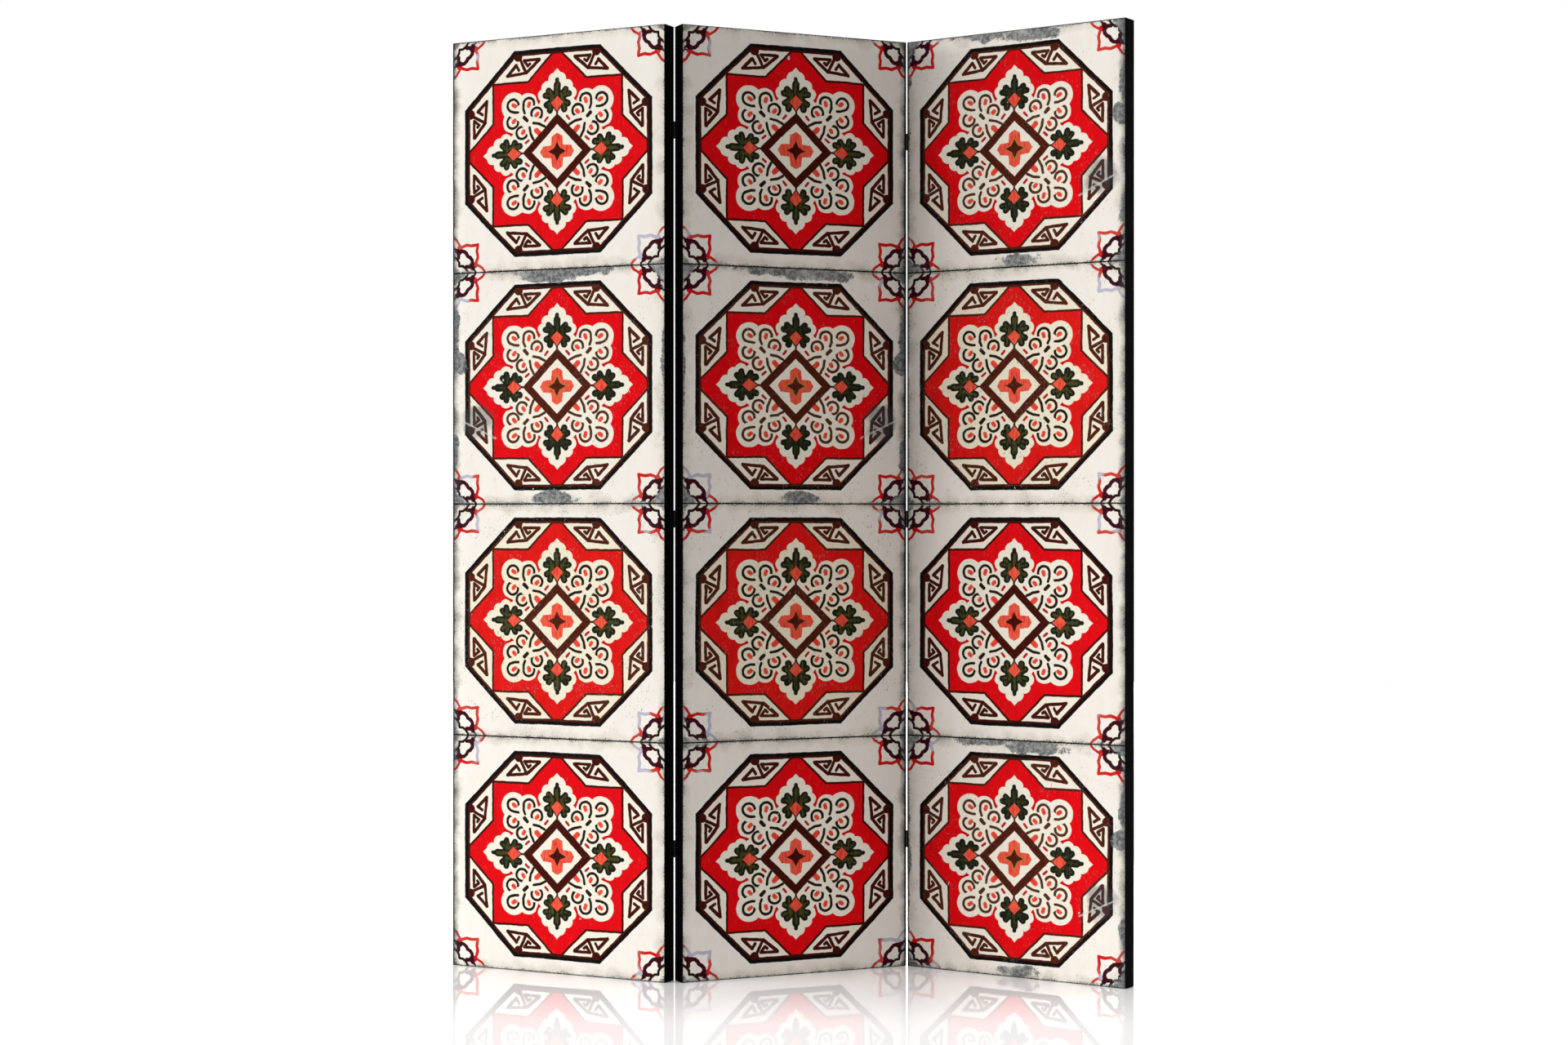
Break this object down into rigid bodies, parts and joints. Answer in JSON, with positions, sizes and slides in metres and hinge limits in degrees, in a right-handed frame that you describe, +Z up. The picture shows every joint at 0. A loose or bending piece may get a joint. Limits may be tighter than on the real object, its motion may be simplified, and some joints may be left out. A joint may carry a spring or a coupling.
{
  "type": "folding screen",
  "caption": "Free-standing folding screen: tile-patterned cloth stretched on wooden frames with black taped edges, joined by small butt hinges so it stands in a zigzag or folds flat.",
  "frame": {"origin": "on the floor, under the middle of the middle panel", "axes": "+Z up; +X along the row of panels, to the right as seen from the printed side; -Y towards the viewer of the printed side"},
  "size_m": [1.2403, 0.2876, 1.72],
  "materials": {
    "print_cloth": "matte non-woven cloth with a printed tile pattern",
    "lining_cloth": "matte off-white non-woven cloth",
    "edge_tape": "matte black edging tape",
    "pine": "planed, unfinished",
    "beech_dowel": "fluted, unfinished",
    "hinge_black": "satin black paint on steel",
    "hinge_pin": "satin black paint on steel",
    "hinge_screw": "black oxide",
    "staple_wire": "zinc plated wire"
  },
  "bodies": {
    "middle_panel": {"middle_panel_left_stile": "pine", "middle_panel_right_stile": "pine", "middle_panel_top_rail": "pine", "middle_panel_bottom_rail": "pine", "middle_panel_lower_bar": "pine", "middle_panel_upper_bar": "pine", "middle_panel_dowels": "beech_dowel", "middle_panel_print_cloth": "print_cloth", "middle_panel_lining_cloth": "lining_cloth", "middle_panel_staples": "staple_wire", "middle_panel_edge_tape": "edge_tape", "left_bottom_hinge_inner_leaf": "hinge_black", "left_bottom_hinge_pin": "hinge_pin", "left_middle_hinge_inner_leaf": "hinge_black", "left_middle_hinge_pin": "hinge_pin", "left_top_hinge_inner_leaf": "hinge_black", "left_top_hinge_pin": "hinge_pin", "left_joint_inner_screws": "hinge_screw", "right_bottom_hinge_inner_leaf": "hinge_black", "right_bottom_hinge_pin": "hinge_pin", "right_middle_hinge_inner_leaf": "hinge_black", "right_middle_hinge_pin": "hinge_pin", "right_top_hinge_inner_leaf": "hinge_black", "right_top_hinge_pin": "hinge_pin", "right_joint_inner_screws": "hinge_screw"},
    "left_panel": {"left_panel_left_stile": "pine", "left_panel_right_stile": "pine", "left_panel_top_rail": "pine", "left_panel_bottom_rail": "pine", "left_panel_lower_bar": "pine", "left_panel_upper_bar": "pine", "left_panel_dowels": "beech_dowel", "left_panel_print_cloth": "print_cloth", "left_panel_lining_cloth": "lining_cloth", "left_panel_staples": "staple_wire", "left_panel_edge_tape": "edge_tape", "left_bottom_hinge_outer_leaf": "hinge_black", "left_middle_hinge_outer_leaf": "hinge_black", "left_top_hinge_outer_leaf": "hinge_black", "left_joint_outer_screws": "hinge_screw"},
    "right_panel": {"right_panel_left_stile": "pine", "right_panel_right_stile": "pine", "right_panel_top_rail": "pine", "right_panel_bottom_rail": "pine", "right_panel_lower_bar": "pine", "right_panel_upper_bar": "pine", "right_panel_dowels": "beech_dowel", "right_panel_print_cloth": "print_cloth", "right_panel_lining_cloth": "lining_cloth", "right_panel_staples": "staple_wire", "right_panel_edge_tape": "edge_tape", "right_bottom_hinge_outer_leaf": "hinge_black", "right_middle_hinge_outer_leaf": "hinge_black", "right_top_hinge_outer_leaf": "hinge_black", "right_joint_outer_screws": "hinge_screw"}
  },
  "joints": [
    {"name": "left_fold", "type": "hinge", "parent": "middle_panel", "child": "left_panel", "pos_m": [-0.213, -0.07784, 0.86], "axis": [0, 0, -1], "range_deg": [-50.5, 129.5]},
    {"name": "right_fold", "type": "hinge", "parent": "middle_panel", "child": "right_panel", "pos_m": [0.213, 0.07784, 0.86], "axis": [0, 0, -1], "range_deg": [-58, 122]}
  ]
}
